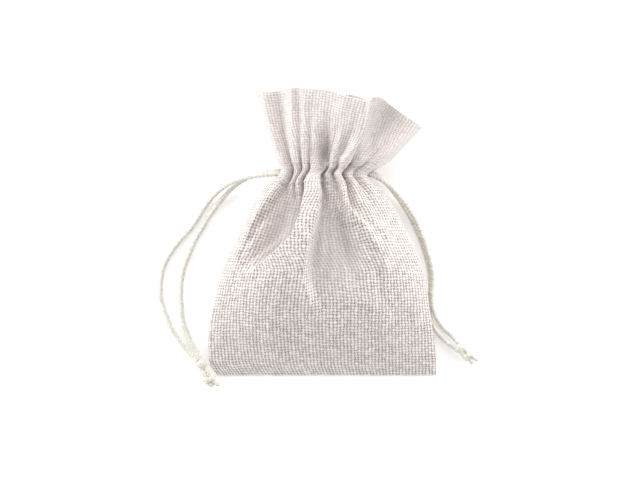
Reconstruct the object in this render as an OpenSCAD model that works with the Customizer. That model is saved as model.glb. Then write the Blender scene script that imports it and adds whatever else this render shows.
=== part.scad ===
// Drawstring gift pouch, filled and lying on its back with its mouth drawn shut.
// A strip of open-weave cloth is folded at the bottom and sewn up both sides. Its top is turned
// in as a lined header, and two rows of stitches below the header make a channel. Two drawcords
// run right round that channel: the left one leaves and ties off on the left, the right one on
// the right. +Y runs from the bottom fold to the mouth, and +Z is up from the surface it lies on.

/* [Pouch] */
// Width of the flat pouch at its bottom fold
pouch_w = 89.6; // [80:0.2:92]
// Length from the bottom fold to the highest point of the rim
pouch_l = 112; // [110:1:118]
// How far the filled front stands up
puff = 17.5; // [10:0.5:19]
// Thickness of the cloth with its fold wrinkles
cloth_t = 0.8; // [0.6:0.1:1]

/* [Gathered neck] */
// Distance of the lower stitch row from the bottom fold
channel_y = 75.2; // [74:0.1:76]
// Half the width of the gathered neck
neck_hw = 16.8; // [16.6:0.1:17.2]
// Half the height of the gathered neck
neck_h = 9; // [8.9:0.1:9.2]
// How far the front of the neck can still be drawn towards the back
neck_travel = 2; // [1:0.1:2]

/* [Header] */
// Height of the front rim above its side corners
rim_h = 15; // [10:0.5:16]
// How far the right corner droops behind the left one
rim_droop = 15.5; // [10:0.5:17]

/* [Cord] */
// Diameter of each drawcord
cord_d = 2; // [1.6:0.1:2]
// Diameter of one stitch of thread
thread_d = 0.4; // [0.3:0.05:0.4]

/* [Hidden] */
gap = 0.05;          // between sewn pieces that touch
joint_gap = 0.35;    // between pieces that move against each other
slot = neck_travel + joint_gap;   // left open at each side between the neck's front and back
fold_z = cloth_t + gap;
neck_z = neck_h + 0.6;            // height of the neck's middle
neck_base = neck_z - neck_h;
gather_t = 2.1;                   // thickness of the outer cloth where it is gathered
cord_room = cord_d + 0.3;         // thickness of the channel inside
channel_w = 8.6;
channel_end = channel_y + channel_w;
cord_y = 79.5;                    // where the strands of both cords come out
loop_inset = cord_d / 2 + 0.4;    // of a cord's loop from the end of the channel
strand_room = [1.9, 2.2];         // half length and half height of a cord's way out
sink = 0.5;                       // how far the back is pressed flat on the surface
arc_steps = 28;
body_steps = 20;
header_steps = 8;

// The neck's layers from outside to inside, each as [half width, half height].
outer_face = [neck_hw, neck_h];
outer_back = outer_face - [gather_t, gather_t];
lining_face = outer_back - [cord_room, cord_room];
hole = [6.2, 2.7];
loop_r = (outer_back + lining_face) / 2;

// Side corners of the rim, each as [place across, height].
rim_left = [-26, 9];
rim_right = [38.5, 7];
rim_half = 32;       // about half the width of the rim

// The left bottom corner is tucked in.
tuck = 3.6;
tuck_l = 9;

// Routes of the four cord tails from inside the neck to the knot, as the cord lies.
left_outer_route = [
    [-7, 79, 10.5], [-12, 79, 10.5], [-17, 79, 10.5], [-22, 78.6, 10.3], [-27, 78, 9.5],
    [-32, 77, 7.8], [-36.6, 75.2, 5.5], [-40.4, 72.8, 3.2], [-43.6, 69.8, 1.8],
    [-46.4, 66.2, 1.2], [-49, 62, 1.1], [-52.2, 57.4, 1.1], [-56, 53.2, 1.1],
    [-59.6, 48.4, 1.1], [-62.4, 43.2, 1.1], [-63.6, 37, 1.1], [-63.6, 31, 1.1],
    [-62, 25, 1.1], [-59.6, 19, 1.1], [-56.2, 13.6, 1.1], [-52.6, 9, 1.6], [-49.3, 5.6, 2.4]];
left_inner_route = [
    [-7, 80, 8.7], [-12, 80, 8.7], [-17, 80, 8.7], [-22, 79.6, 8.3], [-26.4, 78.6, 7],
    [-30.4, 77, 5.2], [-34, 74.8, 3.3], [-37.2, 72, 1.9], [-40.2, 68.6, 1.2],
    [-43.4, 64.4, 1.1], [-46.4, 59.6, 1.1], [-49.4, 54.6, 1.1], [-51.8, 49.4, 1.1],
    [-54, 44, 1.1], [-55.4, 38.4, 1.1], [-55.8, 32.6, 1.1], [-55.5, 26.8, 1.1],
    [-54.8, 21, 1.1], [-52.8, 15.6, 1.2], [-50.2, 10.6, 1.7], [-47.5, 6.6, 2.4]];
right_outer_route = [
    [7, 79, 10.5], [12, 79, 10.5], [17, 79, 10.5], [21.6, 77.4, 10], [25.8, 74.6, 8.6],
    [29.4, 71.2, 6.9], [32.6, 67.2, 5.3], [35.4, 63, 4.1], [37.8, 58.6, 3.4],
    [39.8, 53.6, 3.2], [41.4, 48.6, 3.2], [42.8, 43.6, 3.2], [43.4, 38.2, 3.2],
    [43, 32.6, 3.1], [43.2, 27.4, 2.5], [44.8, 22.8, 1.6], [47.8, 18.6, 1.1],
    [51, 15.4, 1.5], [53.6, 12.7, 2.3]];
right_inner_route = [
    [7, 80, 8.7], [12, 80, 8.7], [17, 80, 8.7], [21.2, 78.6, 7.9], [25, 75.4, 5.6],
    [28.4, 71.6, 3.2], [31.4, 67.4, 1.7], [34.2, 63, 1.2], [36.6, 58.2, 1.1],
    [38.8, 53, 1.1], [40.6, 47.6, 1.1], [42, 42, 1.1], [42.6, 36.2, 1.1],
    [42.2, 30.4, 1.1], [42, 24.6, 1.1], [43.6, 19.6, 1.1], [46.4, 15.6, 1.2],
    [49.4, 12.8, 1.6], [52.1, 11, 2.3]];

// Each knot's middle, the direction its cord ends point in, and its length.
left_knot_at = [-45.9, 1.5, 2.45];
left_knot_turn = -62;
left_knot_l = 8.6;
right_knot_at = [55.6, 9.3, 2.45];
right_knot_turn = -42;
right_knot_l = 6;
knot_r = 1.5;
wrap_r = 0.85;
end_l = 2.8;

// ---- Shape of the pouch. xi runs from -1 at the left seam to 1 at the right one. ----

// Place from the bottom fold, 0, to the channel, 1.
function along(y) = min(1, y / channel_y);
function half_w(y) =
    neck_hw + (pouch_w / 2 - neck_hw) * pow(max(0, cos(90 * along(y))), 0.62);
function corner_tuck(xi, y) = xi < 0 && y < tuck_l ? tuck * pow(1 - y / tuck_l, 2) : 0;
// Height of the side seams, which lift off the surface as the pouch fills.
function seam_z(y) = fold_z + (neck_z - fold_z) * sin(90 * min(1, along(y) / 0.75));
function front_h(y) =
    cloth_t + (neck_h - cloth_t) * pow(along(y), 2) + puff * sin(180 * pow(along(y), 1.05));
function base_z(y) = neck_base * pow(along(y), 4);
function wall(y) = cloth_t + (gather_t - cloth_t) * pow(along(y), 6);
// The section is a parabola low down, and turns into an ellipse at the neck.
function roundness(y) = 1 - 0.5 * pow(along(y), 2);
function front_arch(xi, y) = pow(max(0, 1 - xi * xi), roundness(y));
function back_arch(xi, y) =
    pow(max(0, 1 - pow(abs(xi), 4 - 2 * pow(along(y), 2))), roundness(y));

function panel_x(xi, y, inset) = xi * (half_w(y) - inset - corner_tuck(xi, y));
function front_at(xi, y, inset) =
    [panel_x(xi, y, inset), y, seam_z(y) + gap + max(0, front_h(y) - inset) * front_arch(xi, y)];
// The back is the same kind of arch, pressed flat where it would reach below the surface.
function back_at(xi, y, inset) =
    [panel_x(xi, y, inset), y,
        max(base_z(y) + inset,
            seam_z(y) - gap - (seam_z(y) + sink - inset) * back_arch(xi, y))];

// One half of a ring round the neck, at the angle a from its side. up is 1 in front, -1 behind.
function ring_at(a, y, r, up) =
    [r[0] * cos(a), y, neck_z + up * (slot / 2 + (r[1] - slot / 2) * sin(a))];

// ---- Shape of the header, a lined funnel from the channel to the slanting rim. ----

function across(xi) = (xi + 1) / 2;
function rim_x(xi) = rim_left[0] + (rim_right[0] - rim_left[0]) * across(xi);
function rim_z(xi) = rim_left[1] + (rim_right[1] - rim_left[1]) * across(xi);
function rim_y(xi) = pouch_l - rim_droop * pow(across(xi), 3);
function rim_at(xi, inset, z) = [rim_x(xi) * (1 - inset / rim_half), rim_y(xi), z];
function front_rim(xi, inset) =
    rim_at(xi, inset, rim_z(xi) + slot / 2 + (rim_h - slot / 2 - inset) * pow(1 - xi * xi, 0.6));
function back_rim(xi, inset) =
    rim_at(xi, inset, max(inset, (rim_z(xi) - slot / 2) * (1.1 * pow(xi, 4) - 0.1)));

// ---- Builders ----

// Angles round the neck from the left side to the right, and the xi that goes with each.
arc = [for (i = [0:arc_steps]) 180 - 180 * i / arc_steps];
function xi_of(a) = cos(a);

// A curved sheet with thickness. Each row of outer has its twin in inner, and faced_up says
// that the outer face looks up.
module sheet(outer, inner, faced_up) {
    n = len(outer[0]);
    last = len(outer) - 1;
    function o(r, i) = r * 2 * n + i;
    function quad(a, b, c, d) = [[a, b, c], [a, c, d]];
    skins = [
        for (r = [0:last - 1], i = [0:n - 2])
            each concat(
                quad(o(r, i), o(r + 1, i), o(r + 1, i + 1), o(r, i + 1)),
                quad(o(r, n + i), o(r, n + i + 1), o(r + 1, n + i + 1), o(r + 1, n + i)))];
    sides = [
        for (r = [0:last - 1])
            each concat(
                quad(o(r, 0), o(r, n), o(r + 1, n), o(r + 1, 0)),
                quad(o(r, n - 1), o(r + 1, n - 1), o(r + 1, 2 * n - 1), o(r, 2 * n - 1)))];
    // These diagonals lean towards the middle, which leaves no flat triangle at a side corner.
    function leaning(i, a, b, c, d) = i < (n - 1) / 2 ? quad(b, c, d, a) : quad(a, b, c, d);
    ends = [
        for (i = [0:n - 2])
            each concat(
                leaning(i, o(0, i), o(0, i + 1), o(0, n + i + 1), o(0, n + i)),
                leaning(i, o(last, i), o(last, n + i), o(last, n + i + 1), o(last, i + 1)))];
    faces = concat(skins, sides, ends);
    polyhedron(
        [for (r = [0:last]) each concat(outer[r], inner[r])],
        faced_up ? faces : [for (f = faces) [f[2], f[1], f[0]]],
        convexity = 6);
}

// A round tube of diameter d along a route, with one ring of 8 points at each route point.
module tube(route, d) {
    last = len(route) - 1;
    function unit(v) = v / norm(v);
    function heading(i) = unit(route[min(last, i + 1)] - route[max(0, i - 1)]);
    function sideways(i) = unit(cross(heading(i), [0.05, 0.02, 1]));
    rings = [
        for (i = [0:last])
            let (s = sideways(i), u = cross(s, heading(i)))
            [for (k = [0:7]) route[i] + d / 2 * (s * cos(45 * k) + u * sin(45 * k))]];
    walls = [
        for (i = [0:last - 1], k = [0:7])
            let (a = 8 * i + k, b = 8 * i + (k + 1) % 8)
            each [[a, b, b + 8], [a, b + 8, a + 8]]];
    caps = concat(
        [for (k = [1:6]) [0, k + 1, k]],
        [for (k = [1:6]) [8 * last, 8 * last + k, 8 * last + k + 1]]);
    polyhedron([for (r = rings) each r], concat(walls, caps), convexity = 6);
}

// ---- The pouch below its channel ----

body_rows = [for (i = [0:body_steps]) (channel_y - joint_gap) * i / body_steps];

module front_panel() color("lavenderblush")
    sheet(
        [for (y = body_rows) [for (a = arc) front_at(xi_of(a), y, 0)]],
        [for (y = body_rows) [for (a = arc) front_at(xi_of(a), y, wall(y))]],
        true);

module back_panel() color("lavenderblush")
    sheet(
        [for (y = body_rows) [for (a = arc) back_at(xi_of(a), y, 0)]],
        [for (y = body_rows) [for (a = arc) back_at(xi_of(a), y, wall(y))]],
        false);

// The two cloth edges sewn together, turned to the inside along one side.
seam_w = 3.6;
seam_t = 0.7;
seam_inset = 3.4;
seam_start = 12;
seam_end = 63;
seam_steps = 12;
seam_rows = [for (i = [0:seam_steps]) seam_start + (seam_end - seam_start) * i / seam_steps];

function allowance_at(side, y, k, up) =
    [side * (half_w(y) - wall(y) - seam_inset - seam_w * k), y, seam_z(y) + up * seam_t / 2];

module side_seam(side) color("white") {
    from_left = side > 0 ? [1, 0.5, 0] : [0, 0.5, 1];
    sheet(
        [for (y = seam_rows) [for (k = from_left) allowance_at(side, y, k, 1)]],
        [for (y = seam_rows) [for (k = from_left) allowance_at(side, y, k, -1)]],
        true);
}

module left_side_seam() side_seam(-1);
module right_side_seam() side_seam(1);

// ---- The channel round the neck ----

// Where the strands of a cord come out at both sides. rise is the travel of the layer above.
module strand_exits(rise)
    for (side = [-1, 1])
        translate([side * neck_hw - 10, cord_y - strand_room[0], neck_z - strand_room[1]])
            cube([20, 2 * strand_room[0], 2 * strand_room[1] + rise]);

module channel_layer(face, back, up) color("lavenderblush")
    difference() {
        sheet(
            [for (y = [channel_y, channel_end]) [for (a = arc) ring_at(a, y, face, up)]],
            [for (y = [channel_y, channel_end]) [for (a = arc) ring_at(a, y, back, up)]],
            up > 0);
        strand_exits(up > 0 ? neck_travel : 0);
    }

module front_channel() channel_layer(outer_face, outer_back, 1);
module back_channel() channel_layer(outer_face, outer_back, -1);
module front_channel_lining() channel_layer(lining_face, hole, 1);
module back_channel_lining() channel_layer(lining_face, hole, -1);

// ---- The header above the channel ----

header_rows = [for (i = [0:header_steps]) i / header_steps];

module front_layer(face, face_inset, back, back_inset) color("lavenderblush") {
    y = channel_end + joint_gap;
    sheet(
        [for (v = header_rows)
            [for (a = arc) ring_at(a, y, face, 1) * (1 - v) + front_rim(xi_of(a), face_inset) * v]],
        [for (v = header_rows)
            [for (a = arc) ring_at(a, y, back, 1) * (1 - v) + front_rim(xi_of(a), back_inset) * v]],
        true);
}

module back_layer(face, face_inset, back, back_inset) color("lavenderblush") {
    y = channel_end + gap;
    sheet(
        [for (v = header_rows)
            [for (a = arc) ring_at(a, y, face, -1) * (1 - v) + back_rim(xi_of(a), face_inset) * v]],
        [for (v = header_rows)
            [for (a = arc) ring_at(a, y, back, -1) * (1 - v) + back_rim(xi_of(a), back_inset) * v]],
        false);
}

lining_top = outer_back - [gap, gap];
lining_inset = cloth_t + gap;

module front_header() front_layer(outer_face, 0, outer_back, cloth_t);
module back_header() back_layer(outer_face, 0, outer_back, cloth_t);
module front_header_lining() front_layer(lining_top, lining_inset, hole, 2 * cloth_t);
module back_header_lining() back_layer(lining_top, lining_inset, hole, 2 * cloth_t);

// ---- Stitches ----

stitch_l = 2;
stitch_count = 7;
stitch_spread = 48;  // angle of the last stitch from the middle of the front
stitch_inset = 0.8;

// A row of stitches laid on the outer cloth across the front or the back.
module stitches(y, up) color("snow")
    for (k = [0:stitch_count - 1]) {
        a = 90 + stitch_spread * (1 - 2 * k / (stitch_count - 1));
        lift = thread_d / 2 + gap;
        r = outer_face + [lift, lift];
        slope = atan2(up * (r[1] - slot / 2) * cos(a), -r[0] * sin(a));
        translate(ring_at(a, y, r, up))
            rotate([0, 90 - slope, 0])
                cylinder(d = thread_d, h = stitch_l, center = true, $fn = 16);
    }

module front_lower_stitches() stitches(channel_y + stitch_inset, 1);
module front_upper_stitches() stitches(channel_end - stitch_inset, 1);
module back_lower_stitches() stitches(channel_y + stitch_inset, -1);
module back_upper_stitches() stitches(channel_end - stitch_inset, -1);

// ---- The drawcords ----

run_start = 15;      // angle at which a run round the neck begins and ends
run_steps = 16;

// Half of the loop that a drawcord makes round the neck inside its channel.
module cord_run(y, up) color("ivory")
    tube(
        [for (i = [0:run_steps]) ring_at(run_start + (180 - 2 * run_start) * i / run_steps, y, loop_r, up)],
        cord_d);

module left_cord_front_run() cord_run(channel_y + loop_inset, 1);
module left_cord_back_run() cord_run(channel_y + loop_inset, -1);
module right_cord_front_run() cord_run(channel_end - loop_inset, 1);
module right_cord_back_run() cord_run(channel_end - loop_inset, -1);

module left_outer_tail() color("ivory") tube(left_outer_route, cord_d);
module left_inner_tail() color("ivory") tube(left_inner_route, cord_d);
module right_outer_tail() color("ivory") tube(right_outer_route, cord_d);
module right_inner_tail() color("ivory") tube(right_inner_route, cord_d);

// The two strands drawn tight together, with a wrap of cord at each end.
module knot(at, turn, length) color("ivory")
    translate(at) rotate([0, 0, turn]) rotate([0, 90, 0]) {
        cylinder(r = knot_r, h = length, center = true, $fn = 48);
        for (k = [-1, 1])
            translate([0, 0, k * (length / 2 - wrap_r)])
                rotate_extrude($fn = 48) translate([knot_r, 0]) circle(r = wrap_r, $fn = 32);
    }

// The cut ends of the two strands past the knot.
module cord_ends(at, turn, length) color("ivory")
    translate(at) rotate([0, 0, turn])
        for (k = [-1, 1])
            translate([length / 2 + gap, k * (cord_d / 2 + gap), 0])
                rotate([0, 90, 0])
                    cylinder(d = cord_d, h = end_l, $fn = 32);

module left_knot() knot(left_knot_at, left_knot_turn, left_knot_l);
module right_knot() knot(right_knot_at, right_knot_turn, right_knot_l);
module left_cord_ends() cord_ends(left_knot_at, left_knot_turn, left_knot_l);
module right_cord_ends() cord_ends(right_knot_at, right_knot_turn, right_knot_l);

// Everything above is measured from the bottom fold. The origin is under the pouch's middle.
module place() translate([0, -pouch_l / 2, 0]) children();

place() front_panel();
place() back_panel();
place() left_side_seam();
place() right_side_seam();
place() front_channel();
place() back_channel();
place() front_channel_lining();
place() back_channel_lining();
place() front_header();
place() back_header();
place() front_header_lining();
place() back_header_lining();
place() front_lower_stitches();
place() front_upper_stitches();
place() back_lower_stitches();
place() back_upper_stitches();
place() left_cord_front_run();
place() left_cord_back_run();
place() right_cord_front_run();
place() right_cord_back_run();
place() left_outer_tail();
place() left_inner_tail();
place() left_knot();
place() left_cord_ends();
place() right_outer_tail();
place() right_inner_tail();
place() right_knot();
place() right_cord_ends();
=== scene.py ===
# %% [markdown]
# # A drawstring gift pouch
# A small pouch of coarse open weave lies filled on its back. Its neck is drawn shut by two
# cords, one to each side, and the cloth above the neck stands out as a ruffle.
# This lesson makes the cloth as sheets worked out from formulas, the cords as tubes along
# their routes, and the weave and braid as patterns that follow each piece's own threads.

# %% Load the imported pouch
import math

import bpy
import numpy as np
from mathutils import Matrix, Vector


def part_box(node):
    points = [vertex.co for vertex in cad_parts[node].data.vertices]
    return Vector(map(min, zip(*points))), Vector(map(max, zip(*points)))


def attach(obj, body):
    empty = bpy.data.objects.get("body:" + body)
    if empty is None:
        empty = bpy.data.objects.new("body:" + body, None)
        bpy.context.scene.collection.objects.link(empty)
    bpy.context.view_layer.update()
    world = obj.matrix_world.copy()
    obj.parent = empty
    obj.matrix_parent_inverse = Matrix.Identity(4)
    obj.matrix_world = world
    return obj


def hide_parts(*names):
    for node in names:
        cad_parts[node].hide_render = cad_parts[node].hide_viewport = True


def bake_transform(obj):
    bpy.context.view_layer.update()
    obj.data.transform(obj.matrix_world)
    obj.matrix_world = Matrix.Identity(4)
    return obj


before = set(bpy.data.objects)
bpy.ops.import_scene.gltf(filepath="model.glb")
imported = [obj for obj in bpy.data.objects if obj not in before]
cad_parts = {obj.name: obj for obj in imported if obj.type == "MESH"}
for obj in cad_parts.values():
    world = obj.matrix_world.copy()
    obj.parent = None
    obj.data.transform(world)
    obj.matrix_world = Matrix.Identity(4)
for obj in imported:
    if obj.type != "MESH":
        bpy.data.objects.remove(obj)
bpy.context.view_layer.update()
MM = 0.001

fold_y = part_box("front_panel")[0].y / MM         # the bottom fold, from the middle of the pouch
half_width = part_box("front_panel")[1].x / MM
neck_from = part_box("front_channel")[0].y / MM - fold_y
neck_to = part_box("front_channel")[1].y / MM - fold_y
neck_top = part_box("front_channel")[1].z / MM
neck_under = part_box("back_channel")[0].z / MM
neck_z = (neck_top + neck_under) / 2
neck_h = (neck_top - neck_under) / 2
rim_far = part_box("back_header")[1].y / MM - fold_y
print(f"pouch {2 * half_width:.1f} mm wide and {rim_far:.1f} mm long")
print(f"neck from {neck_from:.1f} to {neck_to:.1f} mm")

# %% [markdown]
# ## Camera first
# The pouch is looked at from straight above, with its mouth away from the viewer. A long lens
# well above the table keeps the belly, which stands nearest, from looking too large.

# %% The camera
lens = 85.0
seen_width = 249.0      # of the table, across the picture
belly_level = 8.0       # height of the side seams, where the outline of the pouch is
camera_height = seen_width * lens / 36 + belly_level
aim = (-1.0, -2.7)      # the point of the table in the middle of the picture

camera_data = bpy.data.cameras.new("camera")
camera_data.lens = lens
camera_data.clip_start = 0.01
camera = bpy.data.objects.new("camera", camera_data)
camera.location = (aim[0] * MM, aim[1] * MM, camera_height * MM)
bpy.context.scene.collection.objects.link(camera)
bpy.context.scene.camera = camera
bpy.context.scene.view_settings.view_transform = "Standard"

# %% [markdown]
# ## Helpers for curves and sheets
# Everything is worked out in millimetres from the bottom fold, and moved to its place when the
# mesh is made. A few listed points and a smooth curve through them give each outline.

# %% Smooth curves through a few points
def smooth(points, at):
    """The height at `at` of the cubic through the points (x, y), whose slope at each point is that
    between its neighbours. Past the ends it stays level."""
    x, y = np.array(points, float).T
    slope = np.gradient(y, x)
    at = np.clip(at, x[0], x[-1])
    i = np.clip(np.searchsorted(x, at, side="right") - 1, 0, len(x) - 2)
    w = x[i + 1] - x[i]
    t = (at - x[i]) / w
    return (
        y[i] * (1 + 2 * t) * (1 - t) ** 2
        + slope[i] * w * t * (1 - t) ** 2
        + y[i + 1] * t**2 * (3 - 2 * t)
        - slope[i + 1] * w * t**2 * (1 - t)
    )


def distances(line):
    """How far along a line of points each of them is: the sum of the steps up to it."""
    return np.concatenate([[0], np.cumsum(np.linalg.norm(np.diff(line, axis=0), axis=1))])


def route(points, step=0.2):
    """A smooth line through 3-D points, each co-ordinate a smooth curve of the distance along
    them, given back with points `step` apart."""
    p = np.array(points, float)
    along = distances(p)
    fine = np.linspace(0, along[-1], 40 * len(p))
    line = np.stack([smooth(np.stack([along, p[:, k]], 1), fine) for k in range(3)], 1)
    walked = distances(line)
    at = np.linspace(0, walked[-1], max(2, round(walked[-1] / step) + 1))
    return np.stack([np.interp(at, walked, line[:, k]) for k in range(3)], 1)


def ripple(a, b, scale, seed, waves=14):
    """Soft uneven noise from -1 to 1: the mean of a few sine waves of random direction and phase,
    each about `scale` long."""
    r = np.random.default_rng(seed)
    turn, phase = r.uniform(0, 2 * np.pi, (2, waves))
    long = scale * r.uniform(0.7, 1.5, waves)
    total = 0
    for k in range(waves):
        along = a * np.cos(turn[k]) + b * np.sin(turn[k])
        total = total + np.sin(2 * np.pi * along / long[k] + phase[k])
    return total / math.sqrt(waves)

# %% Meshes from grids of points
def place(points):
    """Millimetres from the bottom fold, to metres from the middle of the pouch."""
    return (points + np.array([0, fold_y, 0])) * MM


def grid_faces(rows, columns, closed=False):
    """Quads between neighbouring points of a grid that is stored row by row. `closed` joins the
    last column to the first."""
    r = np.arange(rows - 1)[:, None]
    c = np.arange(columns if closed else columns - 1)[None, :]
    d = (c + 1) % columns
    low, high = r * columns, (r + 1) * columns
    return np.stack([low + c, low + d, high + d, high + c], -1).reshape(-1, 4)


def make_mesh(name, points, faces, uv, material, sunk=None):
    """One smooth-shaded object from points in millimetres, a list of faces, and a UV value per
    point. `sunk` is one more value per point, the share of painted shade in the dents of the
    folds, which goes into a UV layer of its own."""
    mesh = bpy.data.meshes.new(name)
    mesh.from_pydata(place(points.reshape(-1, 3)), [], faces)
    mesh.polygons.foreach_set("use_smooth", np.ones(len(mesh.polygons), bool))
    corner = np.zeros(len(mesh.loops), int)
    mesh.loops.foreach_get("vertex_index", corner)
    mesh.uv_layers.new(name="threads")
    at_corners = uv.reshape(-1, 2)[corner].astype(np.float32)
    mesh.uv_layers["threads"].data.foreach_set("uv", at_corners.ravel())
    if sunk is not None:
        mesh.uv_layers.new(name="sunk")
        both = np.repeat(sunk.reshape(-1, 1)[corner], 2, axis=1)
        mesh.uv_layers["sunk"].data.foreach_set("uv", both.astype(np.float32).ravel())
    mesh.materials.append(material)
    piece = bpy.data.objects.new(name, mesh)
    bpy.context.scene.collection.objects.link(piece)
    return piece

# %% Tubes along a line
def frames(line, up=(0.05, 0.02, 1.0)):
    """Two directions square to the line at each of its points, carried along it without twist."""
    ahead = np.gradient(line, axis=0)
    ahead /= np.linalg.norm(ahead, axis=1)[:, None]
    side = np.zeros_like(line)
    last = np.cross(ahead[0], up)
    for k in range(len(line)):
        last = last - (last @ ahead[k]) * ahead[k]
        last = last / np.linalg.norm(last)
        side[k] = last
    return side, np.cross(side, ahead)


def tube(line, radius, around=24):
    """Points of a tube and its (along, around) values in millimetres and turns. `radius` is a
    number, or a function of the distance along and the angle around."""
    side, over = frames(line)
    angle = np.arange(around) / around * 2 * np.pi
    a, s = np.meshgrid(angle, distances(line))
    r = radius(s, a) if callable(radius) else np.full(a.shape, radius)
    out = np.cos(a)[..., None] * side[:, None] + np.sin(a)[..., None] * over[:, None]
    return line[:, None] + r[..., None] * out, np.stack([s, a / (2 * np.pi)], -1)


def tube_piece(name, parts, material):
    """One object from several tubes, each a list of ring points whose two ends are capped. A cap is
    a fan of triangles round the middle of the end ring."""
    all_points, all_faces, all_uv, start = [], [], [], 0
    for points, uv in parts:
        rings, around = points.shape[:2]
        k = np.arange(around)
        after = (k + 1) % around
        last_ring = (rings - 1) * around
        first_middle = np.full(around, rings * around)
        sides = grid_faces(rings, around, closed=True)[:, ::-1]
        low = np.stack([k, first_middle, after], 1)
        high = np.stack([k + last_ring, after + last_ring, first_middle + 1], 1)
        for faces in (sides, low, high):
            all_faces += (faces + start).tolist()
        all_points += [points.reshape(-1, 3), points[[0, -1]].mean(1)]
        all_uv += [uv.reshape(-1, 2), uv[[0, -1], 0]]
        start += rings * around + 2
    return make_mesh(name, np.concatenate(all_points), all_faces, np.concatenate(all_uv), material)

# %% [markdown]
# ## Finishes
# The cloth is a plain weave: each upright yarn goes over one cross yarn and under the next.
# Its height is worked out in the shader from the cloth's own millimetres, so the yarns follow
# every pleat. The yarns are thick and a little uneven. The gaps between them are painted dark, as
# shade, and the crowns of the yarns are painted lightest, as a highlight.

# %% A small helper to write node trees as formulas
class Nodes:
    """Writes a material's formula: each call adds one node and gives back its output."""

    def __init__(self, name):
        self.material = bpy.data.materials.new(name)
        self.material.use_nodes = True
        self.tree = self.material.node_tree
        self.shader = next(n for n in self.tree.nodes if n.type == "BSDF_PRINCIPLED")

    def add(self, kind, **settings):
        node = self.tree.nodes.new(kind)
        for key, value in settings.items():
            setattr(node, key, value)
        return node

    def put(self, socket, value):
        if isinstance(value, bpy.types.NodeSocket):
            self.tree.links.new(value, socket)
        else:
            socket.default_value = value

    def do(self, operation, *values):
        node = self.add("ShaderNodeMath", operation=operation)
        for socket, value in zip(node.inputs, values):
            self.put(socket, value)
        return node.outputs[0]

    def mix(self, share, first, second):
        node = self.add("ShaderNodeMix", data_type="RGBA")
        self.put(node.inputs["Factor"], share)
        self.put(node.inputs["A"], first)
        self.put(node.inputs["B"], second)
        return node.outputs["Result"]

    def noise(self, vector, scale, detail=2.0, roughness=0.5):
        node = self.add("ShaderNodeTexNoise")
        self.put(node.inputs["Vector"], vector)
        node.inputs["Scale"].default_value = scale
        node.inputs["Detail"].default_value = detail
        node.inputs["Roughness"].default_value = roughness
        return node.outputs["Fac"]

    def join(self, x, y, z=0.0):
        node = self.add("ShaderNodeCombineXYZ")
        for socket, value in zip(node.inputs, (x, y, z)):
            self.put(socket, value)
        return node.outputs[0]

    def between(self, value, low, high, to_low=0.0, to_high=1.0):
        node = self.add("ShaderNodeMapRange", interpolation_type="SMOOTHSTEP")
        self.put(node.inputs["Value"], value)
        ends = {"From Min": low, "From Max": high, "To Min": to_low, "To Max": to_high}
        for end, number in ends.items():
            self.put(node.inputs[end], number)
        return node.outputs["Result"]

    def bump(self, height, distance, strength=1.0):
        node = self.add("ShaderNodeBump")
        self.put(node.inputs["Height"], height)
        node.inputs["Distance"].default_value = distance * MM
        node.inputs["Strength"].default_value = strength
        self.tree.links.new(node.outputs["Normal"], self.shader.inputs["Normal"])

# %% The open weave
warp_pitch = 1.34     # between upright yarns
weft_pitch = 1.21     # between cross yarns
double_before = 6     # this far below the stitches the painted shade in the gaps starts to get lighter
double_over = 16      # and over this length it reaches the lighter painted shade of double cloth
# Painted shade: the gap colours stand for the shaded inside seen through the gaps, lighter where a
# second layer of cloth lies behind; the dent colours paint the yarns darker and the gaps lighter in the
# dents of the folds.
yarn_white, yarn_dent_shade = (0.96, 0.88, 0.845), (0.70, 0.64, 0.62)
gap_shade_single, gap_shade_double, gap_dent_shade = (0.34, 0.285, 0.27), (0.64, 0.57, 0.555), (0.54, 0.49, 0.475)


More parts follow.
